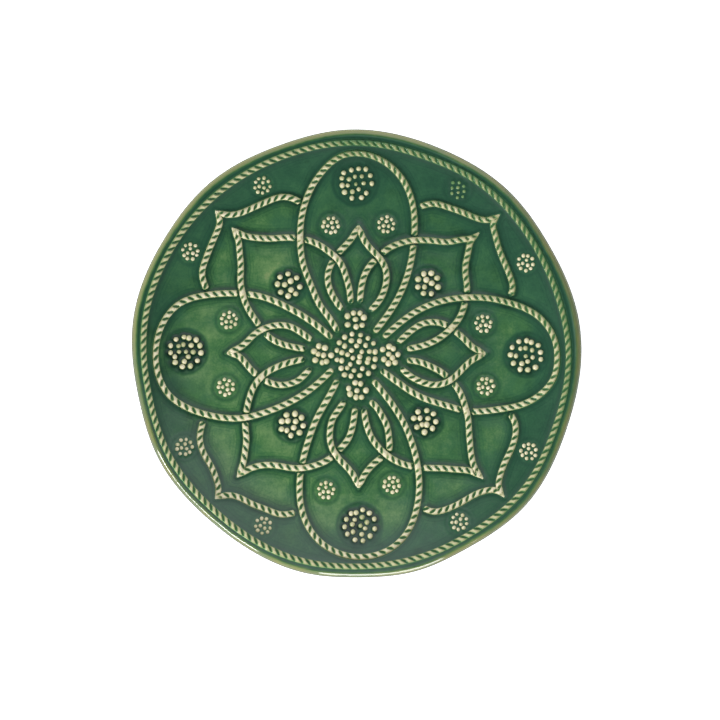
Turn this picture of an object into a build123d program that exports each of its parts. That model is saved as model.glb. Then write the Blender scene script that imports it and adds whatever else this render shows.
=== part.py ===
"""Relief plate, 27 cm: a moulded clay body, a luted foot ring, laid rope coils and pressed clay beads.

The frame has +Z up and its origin at the middle of the resting plane. +Y is north. All sizes are in mm.
The rope pattern has four-fold order (north, west, south, east) but every coil was laid by hand, so each
one keeps its own route. Where two coils cross, the lower one is cut short on both sides of the upper one.
"""
import os
from math import asin, atan2, cos, degrees, hypot, radians, sin, tan

from build123d import *

# Body and wall
BODY_THICKNESS = 5.0  # clay thickness, measured square to the wall
WELL_HEIGHT = 8.5  # height of the well's floor above the table
WELL_RADIUS = 84.0  # where the floor starts to bend up into the wall
BEND_RADIUS = 90.0  # radius of that bend, on the upper face
WALL_SLOPE = radians(24.0)  # slope of the straight part of the wall
BLANK_RADIUS = 142.0  # the untrimmed blank, a little wider than any part of the rim
LIP_RADIUS = 2.3  # rounding of the trimmed edge, above and below

# Foot ring
FOOT_INNER_RADIUS = 70.0
FOOT_OUTER_RADIUS = 78.0
FOOT_HEIGHT = WELL_HEIGHT - BODY_THICKNESS
FOOT_ROUNDING = 1.5

# Ropes and beads
ROPE_HALF_WIDTH = 2.15
ROPE_HEIGHT = 2.3
SECTION_SPACING = 9.0  # distance between the sections that shape a coil
TIP_PINCH = 0.35  # size of a coil at a pinched tip, against its full size
CROSSING_GAP = 0.7  # clay left out on each side of a coil that passes over
CUT_LENGTH = 11.0  # length of the cut that a crossing coil makes
SLIP_FILM = 0.1  # slip under a coil or bead, which lets its flat underside clear the curved face
BEAD_RADIUS = 1.8
CENTRE_BEAD_RADIUS = 1.65
SEED_RADIUS = 1.15  # the beads of the small clusters
SEED_OUTER_COUNT = 9
SEED_OUTER_RING = 4.5
SEED_INNER_COUNT = 3
SEED_INNER_RING = 1.8

# The hand-trimmed rim: angle from east, in degrees, and radius
RIM_KNOTS = [
    (0, 135.2), (10, 135.1), (30, 133.0), (47, 134.0), (67, 133.3), (93, 134.6), (110, 133.4),
    (130, 135.0), (148, 134.2), (170, 135.3), (193, 133.0), (208, 134.1), (230, 132.8), (258, 134.8),
    (270, 134.0), (286, 135.1), (299, 134.3), (318, 136.3), (340, 134.1),
]
# The border rope, laid about 7 mm inside the rim
BORDER_KNOTS = [
    (0, 127.7), (15, 126.2), (40, 126.1), (58, 126.5), (70, 125.6), (87, 126.8), (110, 126.6),
    (134, 127.4), (152, 127.8), (171, 128.3), (190, 126.8), (209, 127.7), (229, 126.8), (254, 128.3),
    (270, 127.6), (290, 127.9), (304, 128.0), (320, 129.4), (339, 127.6),
]

SIDES = ["north", "west", "south", "east"]
CORNERS = ["ne", "nw", "sw", "se"]

# Ovals: one long coil each, starting at the centre boss and running clockwise round its petal
OVAL_ROUTES = {
    "north": [
        (-11, 13.5), (-15.5, 21), (-22, 30), (-26.5, 40), (-31.5, 53), (-33.5, 66), (-33, 80), (-29, 95.5),
        (-20.5, 109.5), (-7.5, 119.5), (6, 120), (18, 115), (29, 103.5), (34.5, 88), (35, 70), (32, 51),
        (23.5, 30.5), (11, 13),
    ],
    "west": [
        (-14, -9), (-24, -18.5), (-40, -29), (-54.5, -35), (-69, -38.5), (-85, -37.5), (-100, -33),
        (-112.5, -24.5), (-119.5, -10), (-120, 6), (-114.5, 21.5), (-105, 31), (-90, 35.5), (-72, 36.5),
        (-55, 34), (-40, 27.5), (-24, 17.5), (-14.5, 9.5),
    ],
    "south": [
        (10.3, -15.8), (19, -26.5), (28.5, -41), (35, -58), (38, -76), (36.5, -93), (30, -108.5), (18, -118.5),
        (3, -122), (-12, -119), (-24.5, -110), (-32, -96), (-34, -80), (-32, -64), (-28, -50),
        (-23.5, -38.5), (-16.5, -26), (-11, -15.5),
    ],
    "east": [
        (16.5, 10), (36, 25.5), (52, 32), (66, 34), (80, 33.5), (95, 30), (108.5, 23.5), (118.5, 11),
        (121, -2), (118.5, -15), (110, -25), (98, -31), (84, -33.5), (69, -34.5), (54.5, -31),
        (39.5, -26), (26.5, -18), (15, -9.5),
    ],
}

# Corner ogees: two coils each, a and b, both starting at the pointed tip
CORNER_ROUTES = {
    "ne": {
        "a": [
            (74, 73), (70.5, 70), (64.5, 69), (55.5, 67.5), (48, 68), (40.5, 68.5), (33, 68.2), (26, 66.5),
            (19.5, 63.5), (13.5, 58.5), (7.5, 52), (3.8, 43), (2.3, 31),
        ],
        "b": [
            (74, 73), (69.5, 68.5), (67.5, 61), (66, 54), (66, 47), (66.8, 40), (66, 33), (64, 25.5),
            (60, 18.5), (54, 12.5), (46.5, 7.5), (38, 4.5), (30.5, 3),
        ],
    },
    "nw": {
        "a": [
            (-74.5, 76), (-71, 69), (-70, 61), (-69.3, 53), (-69.5, 45), (-68.5, 37.5), (-65.5, 28.5),
            (-60.5, 20.5), (-55.5, 13.5), (-49.5, 8.3), (-41, 5), (-30.5, 3),
        ],
        "b": [
            (-74.2, 75.8), (-68.5, 71.8), (-60, 70), (-52, 69.5), (-44, 70), (-36, 69.8), (-29, 68.5),
            (-22, 65.5), (-15.5, 61), (-9.5, 55), (-6, 46.5), (-4, 39), (-3.2, 30.5),
        ],
    },
    "sw": {
        "a": [
            (-71.5, -74), (-65.5, -69.8), (-57, -67), (-48, -67), (-39, -68.5), (-31, -68.4), (-23.5, -66.6),
            (-16, -63), (-10.5, -58), (-5, -51.5), (-2, -43), (-0.5, -32.5),
        ],
        "b": [
            (-71.5, -74), (-68.5, -67.5), (-66.8, -59), (-66, -51), (-66.6, -43), (-66, -35), (-64, -26),
            (-60.5, -18), (-54.5, -11.7), (-47, -7.5), (-40, -5), (-31, -3),
        ],
    },
    "se": {
        "a": [
            (76.5, -75), (72, -69.5), (69.7, -62.5), (68.6, -54), (68, -46), (67.3, -38), (65.5, -31),
            (62.5, -23), (57.5, -16.3), (51.5, -11), (44, -7), (37, -4.5), (30.5, -3.7),
        ],
        "b": [
            (76.5, -75), (70, -70.8), (61, -69.5), (51.5, -68.7), (42.5, -68.5), (35, -67.8),
            (28.5, -66.2), (21, -62.5), (14, -56.5), (8.7, -49), (6, -41), (4.7, -33),
        ],
    },
}

# Outer ogees: two coils each, from the tip to a butt end beside the oval
OUTER_ROUTES = {
    "ne": {
        "a": [(86.3, 83.8), (79.5, 80.7), (72, 82), (63.5, 85.5), (55, 88.5), (46.5, 90.5), (38.5, 88.7)],
        "b": [
            (86.3, 83.8), (82.7, 79), (83.5, 72.5), (86, 63.5), (90, 53.5), (93.5, 44.5), (94.2, 39.5),
            (93, 35.2),
        ],
    },
    "nw": {
        "a": [(-84.5, 86), (-82, 80.5), (-83.5, 74), (-87, 66), (-90.5, 57), (-92.6, 48.5), (-90, 39)],
        "b": [
            (-84.5, 86), (-79, 84), (-70.5, 84.6), (-61.5, 88.3), (-53, 92), (-45, 94.5), (-38, 93.5),
            (-33.5, 91.3),
        ],
    },
    "sw": {
        "a": [
            (-84.5, -87), (-79.5, -85.2), (-72, -85.7), (-63, -90), (-54, -93.5), (-45, -96.5),
            (-36.8, -95.5),
        ],
        "b": [
            (-84.5, -87), (-82.8, -81.5), (-84, -75.5), (-87.2, -67.5), (-92, -59), (-94, -50.5),
            (-92, -40.5),
        ],
    },
    "se": {
        "a": [
            (89, -86), (86, -80), (86.7, -73.5), (89.5, -65.5), (93.5, -57), (96, -48), (95.5, -41),
            (93, -36.3),
        ],
        "b": [
            (89, -86), (85, -82.3), (79, -82), (71.5, -84.6), (63, -89.5), (54, -93.5), (46, -94.7),
            (40.7, -92.7),
        ],
    },
}

# Inner petals: two coils each, from the tip back to the centre boss
PETAL_ROUTES = {
    "north": {
        "a": [
            (1.6, 77.8), (-2, 70.5), (-9.5, 62), (-14.2, 55.5), (-17, 46.5), (-15.5, 38.3), (-12, 31.7),
            (-8.3, 26.5),
        ],
        "b": [
            (1.6, 77.8), (4.5, 69.3), (10, 62.2), (15.5, 56), (18.2, 49), (17.2, 39), (15, 33.8),
            (11.3, 28.9), (8.2, 26),
        ],
    },
    "west": {
        "a": [
            (-78.5, 0.3), (-71.5, -0.8), (-64.7, -7.6), (-61, -11.5), (-54, -16.2), (-47, -18.5),
            (-38.5, -17.5), (-34, -15.3), (-30.5, -12), (-27.4, -8.8),
        ],
        "b": [
            (-78.5, 0.3), (-70.3, 3.8), (-66, 7), (-62.3, 10.8), (-57.5, 14.3), (-52, 16.5), (-47, 17.4),
            (-38.5, 16.1), (-34, 13.6), (-30, 10.8), (-26.5, 8.2),
        ],
    },
    "south": {
        "a": [
            (1.5, -81.2), (4, -74.7), (9.5, -67.2), (15, -62.5), (19.3, -58.7), (19.9, -51), (18.8, -44),
            (14.8, -35.7), (11.8, -31.4), (8.3, -28.2),
        ],
        "b": [
            (1.5, -81.2), (-0.7, -74.5), (-6, -67.5), (-12.3, -60.3), (-15.4, -53), (-15.6, -46),
            (-13.5, -38), (-10.2, -33.2), (-7, -28.3),
        ],
    },
    "east": {
        "a": [
            (78.5, 0.3), (69.7, 4.6), (65, 9.2), (61, 12.6), (54, 17.5), (46, 19.3), (39.5, 18), (34.5, 15),
            (29.3, 10.6), (25.2, 6.8),
        ],
        "b": [
            (78.5, 0.3), (69.7, -3.8), (65.3, -7.7), (61.5, -11.7), (55, -16.7), (47, -18.5), (37, -15.7),
            (31.5, -12.4), (27.2, -8.4),
        ],
    },
}

# Beads of the centre boss
CENTRE_BEADS = [
    (-2.4, 12), (2.8, 11.4), (-6.8, 10.1), (7.2, 9.5), (-2.8, 8), (2.1, 7.8), (-10, 6.8), (10.5, 6.4),
    (-6.8, 4.8), (0.4, 4.9), (5.8, 5.2), (-11.5, 2.2), (-2.7, 2.1), (3.5, 1.3), (8.1, 1.5), (11.5, 1.3),
    (-8.5, 0.8), (-5.1, -0.4), (2.3, -1.6), (-1.9, -2.4), (7.5, -2.9), (11.5, -3.1), (-11.4, -3.5),
    (-8.6, -4), (1.8, -4.7), (6.9, -4.9), (-3.5, -6.2), (10.7, -7.6), (-8.9, -8.6), (-5.3, -8.4),
    (-1.2, -9.9), (3.8, -8.8), (7.5, -11.6), (-6.9, -12.5), (-3, -13.3), (2.3, -12.9),
]
# Beads of the four satellites beside the boss
SATELLITE_BEADS = {
    "north": [
        (-5.1, 22.8), (-1.5, 24.6), (2.4, 24.5), (4.7, 22), (-0.3, 20.8), (-5, 17.6), (0.1, 16.4),
        (3.6, 17.3),
    ],
    "west": [
        (-22.4, 4.7), (-18.7, 3.7), (-25.3, 1.6), (-22.8, -0.1), (-19.5, -0.8), (-15, -0.8), (-24.5, -3.7),
        (-20.3, -5.1), (-17.9, -4.5),
    ],
    "south": [
        (-0.5, -17.3), (2.8, -17.9), (-4.4, -20.8), (6, -21.9), (0.5, -22.1), (-3.6, -24), (0, -26),
        (3.3, -26),
    ],
    "east": [
        (16.1, 2.7), (20, 4.5), (22.4, 3.2), (19.7, -0.1), (25.2, -0.3), (16.8, -3.2), (21.9, -2.4),
        (19.5, -5.6), (23.5, -5.1),
    ],
}
# Beads of the four large clusters, at the broad end of each oval
LARGE_BEADS = {
    "north": [
        (-7.4, 109), (-8.5, 105.8), (-2.8, 110.7), (1.6, 111.5), (5.9, 111.2), (-4.1, 105.2), (-0.6, 106.8),
        (3.5, 106.9), (8.6, 107.4), (-8.3, 101.5), (-5, 101.5), (-0.1, 102.3), (4.6, 102.8), (9.5, 102.6),
        (-6.9, 97.4), (-2.2, 97.7), (1.6, 99.2), (6.2, 96.9), (-2.5, 93.9), (3.3, 94.1),
    ],
    "west": [
        (-108.3, 8.8), (-103.5, 10.2), (-100.6, 9.6), (-96.2, 8.5), (-111.5, 5), (-106.8, 4.8), (-104, 5.7),
        (-99.2, 5.2), (-94, 5), (-111.5, 0.8), (-106.5, 1.3), (-102.3, 1.3), (-98, 1.2), (-93.3, 0.7),
        (-109, -1.7), (-101, -1.7), (-108.8, -5), (-103.3, -4.5), (-95.5, -4), (-104.5, -7.6), (-99.7, -7.2),
    ],
    "south": [
        (4, -93.8), (8, -95.8), (-2.9, -96), (0, -95.5), (3.7, -98.2), (-5.8, -99.5), (-0.8, -99.8),
        (11, -99.3), (6.6, -101.3), (-2.2, -102.5), (2.7, -103.3), (-6.8, -104), (5.5, -105), (11.3, -105.2),
        (-1.8, -107), (3.5, -108.5), (-5.2, -108.3), (8.5, -109.5), (-0.6, -111.8), (4.2, -112.3),
    ],
    "east": [
        (98, 7.5), (102.7, 8), (105.5, 7), (109.7, 5.2), (94, 4), (99, 3.2), (102, 3.5), (106, 2.3), (111, 1),
        (93, -0.5), (96.3, -1.2), (102.2, -1.3), (106.3, -2), (111.2, -3.2), (94.8, -5.5), (99.8, -5.8),
        (103.3, -4.5), (98.8, -9.2), (103.4, -9.5), (108, -8),
    ],
}
# Beads of the four middle clusters, between the ovals
MIDDLE_BEADS = {
    "ne": [
        (40.8, 48.2), (45.3, 48.6), (37.4, 45), (42.3, 44.6), (48.8, 45.7), (45.6, 42.6), (37.2, 40.3),
        (41.2, 40.3), (49.3, 40.3), (40.6, 36.5), (45.3, 36.3),
    ],
    "nw": [
        (-45.7, 46.3), (-40.9, 48.2), (-35.7, 45.8), (-39.3, 43.9), (-47.2, 42), (-42.9, 41.7), (-33.8, 40.4),
        (-45.3, 37.2), (-39.1, 38.5), (-36.3, 36.2), (-40.8, 34.9),
    ],
    "sw": [
        (-41.8, -36.7), (-36.7, -36), (-32.8, -38.3), (-44.6, -40.5), (-41, -40.2), (-36.3, -40.6),
        (-31.8, -43.2), (-44.8, -45.2), (-41.6, -46), (-37.5, -44.3), (-34, -47.3), (-39.2, -49),
    ],
    "se": [
        (37.3, -34.8), (42.6, -34), (46.6, -36), (34.8, -38.7), (38.5, -38.6), (43.3, -38.8), (48, -40.7),
        (36.7, -44), (39.8, -42.5), (42.5, -42.5), (46, -44.7), (41.2, -47),
    ],
}
# Small clusters: middle, and the direction of the first bead. Nine beads stand round three.
SEED_CLUSTERS = {
    "oval_north_a": (-15.2, 77.4, 70), "oval_north_b": (18.2, 78, 85),
    "oval_west_a": (-78.3, -19.9, 62), "oval_west_b": (-76.5, 20.4, 88),
    "oval_south_a": (21.6, -78.7, 72), "oval_south_b": (-18, -81.9, 90),
    "oval_east_a": (76.6, 18.2, 95), "oval_east_b": (78.1, -19.3, 80),
    "rim_ne_a": (61.4, 98.6, 82), "rim_ne_b": (102.1, 54.8, 70),
    "rim_nw_a": (-99.6, 61.6, 88), "rim_nw_b": (-56.4, 101.3, 75),
    "rim_sw_a": (-55.8, -103.2, 62), "rim_sw_b": (-103.2, -55.9, 78),
    "rim_se_a": (103.9, -58.6, 92), "rim_se_b": (62.1, -100.9, 65),
}


def face_lean(radius):
    """Slope of the body's upper face at a distance from the axis, in radians."""
    return asin(min(max((radius - WELL_RADIUS) / BEND_RADIUS, 0.0), sin(WALL_SLOPE)))


def face_height(radius):
    """Height of the body's upper face at a distance from the axis."""
    lean = face_lean(radius)
    bend_end = WELL_RADIUS + BEND_RADIUS * sin(WALL_SLOPE)
    return WELL_HEIGHT + BEND_RADIUS * (1 - cos(lean)) + max(radius - bend_end, 0.0) * tan(WALL_SLOPE)


def on_face(x, y):
    """Where a coil or bead is laid at (x, y): on a film of slip over the body's upper face."""
    return Vector(x, y, face_height(hypot(x, y)) + SLIP_FILM)


def face_normal(x, y):
    """Direction square to the body's upper face at (x, y)."""
    lean = face_lean(hypot(x, y))
    return Vector(0, 0, 1).rotate(Axis.Y, -degrees(lean)).rotate(Axis.Z, degrees(atan2(y, x)))


def polar(knots):
    """Plan points from pairs of angle and radius."""
    return [(radius * cos(radians(angle)), radius * sin(radians(angle))) for angle, radius in knots]


def crossing(over, under):
    """Where two plan routes cross: the point, and the heading of the upper one in degrees."""
    for (ax, ay), (bx, by) in zip(over, over[1:]):
        for (cx, cy), (dx, dy) in zip(under, under[1:]):
            spread = (bx - ax) * (dy - cy) - (by - ay) * (dx - cx)
            along_over = ((cx - ax) * (dy - cy) - (cy - ay) * (dx - cx)) / spread
            along_under = ((cx - ax) * (by - ay) - (cy - ay) * (bx - ax)) / spread
            if 0 <= along_over <= 1 and 0 <= along_under <= 1:
                place = (ax + along_over * (bx - ax), ay + along_over * (by - ay))
                return place, degrees(atan2(by - ay, bx - ax))
    raise ValueError("these routes do not cross")


def blank_outline():
    """Half section of the body blank, from the axis out past the rim."""
    bend_centre = Vector(WELL_RADIUS, WELL_HEIGHT + BEND_RADIUS)
    down_the_bend = Vector(sin(WALL_SLOPE), -cos(WALL_SLOPE))
    up_the_wall = Vector(cos(WALL_SLOPE), sin(WALL_SLOPE))
    upper_start = bend_centre + down_the_bend * BEND_RADIUS
    lower_start = upper_start + down_the_bend * BODY_THICKNESS
    upper_end = upper_start + up_the_wall * ((BLANK_RADIUS - upper_start.X) / up_the_wall.X)
    lower_end = lower_start + up_the_wall * ((BLANK_RADIUS - lower_start.X) / up_the_wall.X)
    with BuildLine() as outline:
        Line((0, WELL_HEIGHT), (WELL_RADIUS, WELL_HEIGHT))
        RadiusArc((WELL_RADIUS, WELL_HEIGHT), upper_start, -BEND_RADIUS)
        Polyline(upper_start, upper_end, lower_end, lower_start)
        RadiusArc(lower_start, (WELL_RADIUS, FOOT_HEIGHT), BEND_RADIUS + BODY_THICKNESS)
        Polyline((WELL_RADIUS, FOOT_HEIGHT), (0, FOOT_HEIGHT), (0, WELL_HEIGHT))
    return outline.line


def coil_section(place, heading, size):
    """Half-round section of a coil, standing on the face at a plan point."""
    up = face_normal(place.X, place.Y)
    across = up.cross(heading).normalized()
    plane = Plane(origin=on_face(place.X, place.Y), x_dir=across, z_dir=across.cross(up))
    half_width = size * ROPE_HALF_WIDTH
    with BuildSketch(plane) as section:
        with BuildLine():
            Line((-half_width, 0), (half_width, 0))
            ThreePointArc((half_width, 0), (0, size * ROPE_HEIGHT), (-half_width, 0))
        make_face()
    return section.sketch


def lay_coil(route, over_route=None, pinched=False):
    """One coil along a plan route, cut short on both sides of a coil that passes over it."""
    with BuildLine():
        plan = Spline(*route)
    steps = round(plan.length / SECTION_SPACING)
    with BuildPart() as coil:
        for step in range(steps + 1):
            size = TIP_PINCH if pinched and step == 0 else 1.0
            add(coil_section(plan @ (step / steps), plan % (step / steps), size))
        loft()
        if over_route:
            place, heading = crossing(over_route, route)
            with Locations(Location(on_face(*place), (0, 0, heading))):
                Box(CUT_LENGTH, 2 * (ROPE_HALF_WIDTH + CROSSING_GAP), 4 * ROPE_HEIGHT, mode=Mode.SUBTRACT)
    return coil.part


def save(node, name):
    """Label a finished piece and write its STEP file."""
    node.part.label = name
    export_step(node.part, f"parts/{name}.step")
    print(name, len(node.part.solids()), "solids,", round(node.part.volume), "mm3")


def rope(name, coils):
    """A rope node: its coils, joined where they meet in a point."""
    with BuildPart() as node:
        add(coils)
    save(node, name)


def bead_cluster(name, centres, radius):
    """A cluster of round beads pressed on to the face."""
    with BuildPart() as node:
        with Locations(*[Plane(origin=on_face(x, y), z_dir=face_normal(x, y)) for x, y in centres]):
            Sphere(radius, arc_size1=0, align=(Align.CENTER, Align.CENTER, Align.MIN))
    save(node, name)


def bead_ring(middle_x, middle_y, count, ring_radius, first_angle):
    """Plan points of beads spaced evenly round a middle point."""
    angles = [radians(first_angle + 360 * index / count) for index in range(count)]
    return [(middle_x + ring_radius * cos(angle), middle_y + ring_radius * sin(angle)) for angle in angles]


os.makedirs("parts", exist_ok=True)

# Plate body: a blank pressed over a round mould, trimmed by hand and sponged round at the edge
with BuildPart() as plate_body:
    with BuildSketch(Plane.XZ):
        with BuildLine():
            add(blank_outline())
        make_face()
    revolve(axis=Axis.Z)
    with BuildSketch(Plane.XY):
        with BuildLine():
            Spline(*polar(RIM_KNOTS), periodic=True)
        make_face()
    extrude(amount=BEND_RADIUS, mode=Mode.INTERSECT)
    rim_edges = plate_body.edges().sort_by(lambda edge: edge.length)[-2:]
    fillet(rim_edges, LIP_RADIUS)
save(plate_body, "plate_body")

# Foot ring: a flat coil luted under the body
with BuildPart() as foot_ring:
    with BuildSketch():
        Circle(FOOT_OUTER_RADIUS)
        Circle(FOOT_INNER_RADIUS, mode=Mode.SUBTRACT)
    extrude(amount=FOOT_HEIGHT)
    fillet(foot_ring.edges().group_by(Axis.Z)[0], FOOT_ROUNDING)
save(foot_ring, "foot_ring")

# Border rope: two lengths, joined end to end
border = polar(BORDER_KNOTS)
half = len(border) // 2
rope("rope_border", [lay_coil(border[: half + 1]), lay_coil(border[half:] + border[:1])])

# Ovals, corner ogees and inner petals: each quarter turn repeats the same weave, over and under
for quarter, (side, corner) in enumerate(zip(SIDES, CORNERS)):
    previous_side = SIDES[quarter - 1]
    next_corner = CORNERS[(quarter + 1) % len(CORNERS)]
    corner_coils = CORNER_ROUTES[corner]
    petal_coils = PETAL_ROUTES[side]
    rope(f"rope_oval_{side}", [lay_coil(OVAL_ROUTES[side], over_route=corner_coils["a"])])
    corner_a = lay_coil(corner_coils["a"], over_route=petal_coils["b"], pinched=True)
    corner_b = lay_coil(corner_coils["b"], over_route=OVAL_ROUTES[previous_side], pinched=True)
    rope(f"rope_corner_{corner}", [corner_a, corner_b])
    petal_a = lay_coil(petal_coils["a"], over_route=CORNER_ROUTES[next_corner]["b"], pinched=True)
    petal_b = lay_coil(petal_coils["b"], pinched=True)
    rope(f"rope_petal_{side}", [petal_a, petal_b])

# Outer ogees: their ends butt against the ovals
for corner, coils in OUTER_ROUTES.items():
    rope(f"rope_outer_{corner}", [lay_coil(route, pinched=True) for route in coils.values()])

# Beads
bead_cluster("beads_centre", CENTRE_BEADS, CENTRE_BEAD_RADIUS)
for side in SIDES:
    bead_cluster(f"beads_satellite_{side}", SATELLITE_BEADS[side], CENTRE_BEAD_RADIUS)
    bead_cluster(f"beads_large_{side}", LARGE_BEADS[side], BEAD_RADIUS)
for corner in CORNERS:
    bead_cluster(f"beads_middle_{corner}", MIDDLE_BEADS[corner], BEAD_RADIUS)
for place, (x, y, first_angle) in SEED_CLUSTERS.items():
    outer = bead_ring(x, y, SEED_OUTER_COUNT, SEED_OUTER_RING, first_angle)
    inner = bead_ring(x, y, SEED_INNER_COUNT, SEED_INNER_RING, first_angle)
    bead_cluster(f"beads_small_{place}", outer + inner, SEED_RADIUS)
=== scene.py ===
"""Glazed relief plate, seen from straight above on a white table.

One clay body and its foot ring carry laid ropes and pressed beads under a pooled green glaze. Sizes are in
mm, and MM turns them into metres when a mesh is made. The outlines, the routes and the places of the beads
repeat the part's. The ropes' section and the beads' sizes are drawn closer to the photo.
"""
from math import cos, pi, radians, sin, tan

import bpy
import numpy as np
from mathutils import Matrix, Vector
from mathutils.kdtree import KDTree


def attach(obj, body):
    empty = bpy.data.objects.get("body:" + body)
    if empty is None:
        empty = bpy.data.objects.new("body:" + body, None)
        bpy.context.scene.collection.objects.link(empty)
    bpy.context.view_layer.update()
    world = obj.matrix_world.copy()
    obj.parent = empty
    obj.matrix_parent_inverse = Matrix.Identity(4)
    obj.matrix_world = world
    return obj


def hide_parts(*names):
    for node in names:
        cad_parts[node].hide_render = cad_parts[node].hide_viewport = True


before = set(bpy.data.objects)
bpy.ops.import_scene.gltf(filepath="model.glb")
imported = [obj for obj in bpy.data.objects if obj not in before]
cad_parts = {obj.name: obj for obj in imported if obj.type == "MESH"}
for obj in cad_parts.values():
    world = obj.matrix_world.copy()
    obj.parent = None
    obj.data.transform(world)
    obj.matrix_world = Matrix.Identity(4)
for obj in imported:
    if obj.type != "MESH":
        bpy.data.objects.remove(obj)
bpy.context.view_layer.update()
MM = 0.001

# Body, wall and foot, as in the part
BODY_THICKNESS = 5.0
WELL_HEIGHT = 8.5
WELL_RADIUS = 84.0
BEND_RADIUS = 90.0
WALL_SLOPE = radians(24.0)
LIP_RADIUS = 2.3
FOOT_INNER_RADIUS = 70.0
FOOT_OUTER_RADIUS = 78.0
FOOT_HEIGHT = WELL_HEIGHT - BODY_THICKNESS
FOOT_ROUNDING = 1.5
FOOT_FLAT = (73.0, 75.0)  # two places on the flat that the plate stands on
FOOT_INNER_NECK = 3.0  # height where the foot starts to spread into the body
FOOT_OUTER_NECK = 2.6
FOOT_SPREAD = 0.5
FOOT_TOP = 3.6  # just inside the body's underside
FOOT_SIDES = 240

# Ropes
ROPE_HALF_WIDTH = 1.95
ROPE_HEIGHT = 2.0
COIL_STEP = 0.42  # distance between the sections of a coil
SECTION_POINTS = 15  # points over the top of a section
COIL_SINK = 0.35  # depth of a coil's edges below the clay face
SEAT_WIDTH = 0.9  # width of a coil there, against its full width
FINE_STEP = 0.1  # distance between the points from which a coil is measured
CROSSING_STEP = 0.3  # distance between the points from which a crossing is found
BORDER_POINTS = 3600
GROOVE_DEPTH = 0.5  # depth of a groove against the rope's height
STRAND_BULGE = 0.07  # how much wider the rope is at a strand
TIP_SIZE = 0.2  # size of a pinched tip against the rope's
TIP_LENGTH = 5.5
BUTT_SIZE = 0.85
BUTT_LENGTH = 4.0
END_ROUNDING = 0.9  # length over which a plain end rounds off
BORDER_PITCH = 4.85  # length of one twist along the border rope
CROSSING_GAP = 0.6  # glaze left between a cut coil and the coil that passes over it
CROSSING_REACH = 1.7  # distance over which a coil's grooves fade where it passes over another
CROSSING_SWELL = 0.12  # how much higher it is there
# lean: how far a strand runs along the rope while it crosses it. taper: how much shallower its grooves are at
# its edges. groove: how much thicker the glaze lies in a groove than on a crest. veil: extra glaze all over.
ROPE_STYLE = {"lean": 0.8, "taper": 0.85, "groove": 0.62, "veil": 0.0}
BORDER_STYLE = {"lean": 1.0, "taper": 0.7, "groove": 0.48, "veil": 0.14}

# Glaze on the ropes
CREST_GLAZE = 0.02
SIDE_GLAZE = 0.16  # extra glaze on a rope's sides
SEAM_GLAZE = 0.52  # least glaze where a rope's edges meet the clay
FAR_PAINTED_SHADE = 0.16  # painted shade: how much darker the ropes' glaze is made toward the upper right
PAINTED_SHADE_DIRECTION = (0.8, 0.6)
TOP_RUN = 0.15  # extra glaze round a place at the top
TOP_PLACE = (0.0, 122.0)
TOP_REACH = 15.0

# Beads
BEAD_RADIUS = 1.8
SATELLITE_RADIUS = 1.86
CENTRE_BEAD_RADIUS = 1.65  # in the boss and in the large clusters
SEED_RADIUS = 1.25  # in the small clusters inside the ovals
RIM_SEED_RADIUS = 1.2  # in the small clusters near the rim
SEED_OUTER_COUNT = 9
SEED_OUTER_RING = 4.5
SEED_INNER_COUNT = 3
SEED_INNER_RING = 1.8
BEAD_SIDES = 14
BEAD_RISE = 0.92  # height of a bead against its radius
DROWNED_RISE = 0.7
DROWNED_VEIL = 0.38  # glaze over a drowned bead
INNER_VEIL = 0.022  # glaze over a large cluster's inner beads, for each mm that they lie inside the rest
# A bead's rings from its top down: distance from its axis and height, against its radius, and its glaze
BEAD_RINGS = [(0.0, 0.98, 0.0), (0.3, 0.93, 0.01), (0.56, 0.80, 0.05), (0.76, 0.60, 0.14), (0.92, 0.36, 0.34),
              (1.02, 0.15, 0.60), (1.14, 0.02, 0.85), (1.16, -0.2, 0.95)]

# Mesh of the body
FACE_RINGS = 146  # rings of triangles from the middle to the lip
UNDER_OUTER_RINGS = 21  # rings of the underside from its edge to UNDER_CHANGE of its radius
UNDER_INNER_RINGS = 9  # rings from there to UNDER_LAST of its radius
UNDER_CHANGE = 0.6
UNDER_LAST = 0.05
# The lip's section from the face outward: distance inside the rim, and tilt of the surface in degrees
LIP_PROFILE = [(3.8, -24), (3.4, -18), (3.0, -8), (2.65, 4), (2.35, 18), (2.12, 30), (2.02, 33.5),
               (1.22, 34.5), (1.1, 39), (0.85, 52), (0.5, 65), (0.2, 77), (0.0, 88)]
LIP_START = LIP_PROFILE[0][0]
LIP_TURN = 66  # degrees that the edge turns on below its widest line
LIP_STEPS = 6
FAR_GAP = 6.0  # distance to ropes and beads that the lip and the underside are given
EDGE_GAP = 0.05  # distance inside the rim that the edge's lower half is given
UNDER_GAP = 7.0  # and that the underside is given

# Glaze: its thickness, and its colour where it lies that thick over the clay
GLAZE = [
    (0.00, (0.770, 0.700, 0.510)), (0.14, (0.620, 0.580, 0.350)), (0.30, (0.330, 0.350, 0.165)),
    (0.45, (0.128, 0.245, 0.092)), (0.58, (0.054, 0.157, 0.055)), (0.72, (0.025, 0.091, 0.038)),
    (0.86, (0.010, 0.048, 0.024)), (1.00, (0.003, 0.018, 0.010)),
]
LIP_OLIVE = (0.21, 0.21, 0.065, 1.0)  # the lip, where its glaze is thin
LIP_BROWN = (0.105, 0.10, 0.026, 1.0)  # and where it is thick, and where painted shade darkens it
COOL_GLAZE = (0.030, 0.115, 0.066, 1.0)
FLANK_GLAZE = 0.56  # thickness against the flank of a rope
SHADE_GRADIENT = np.array([0.0004, 0.0002])  # painted shade: how much darker the glaze is made for each mm toward +X and toward +Y
WALL_DARKENING = 0.15  # how much darker the glaze is made on the wall
# Painted shade on the lip: direction in degrees, and how much darker than usual the lip is painted there, for
# the light and shade that fall on that side
LIP_PAINTED_SHADE = [(0, 0.036), (45, 0.022), (90, -0.080), (135, -0.100), (180, 0.018), (225, 0.032), (270, 0.010),
             (315, 0.015)]
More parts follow.
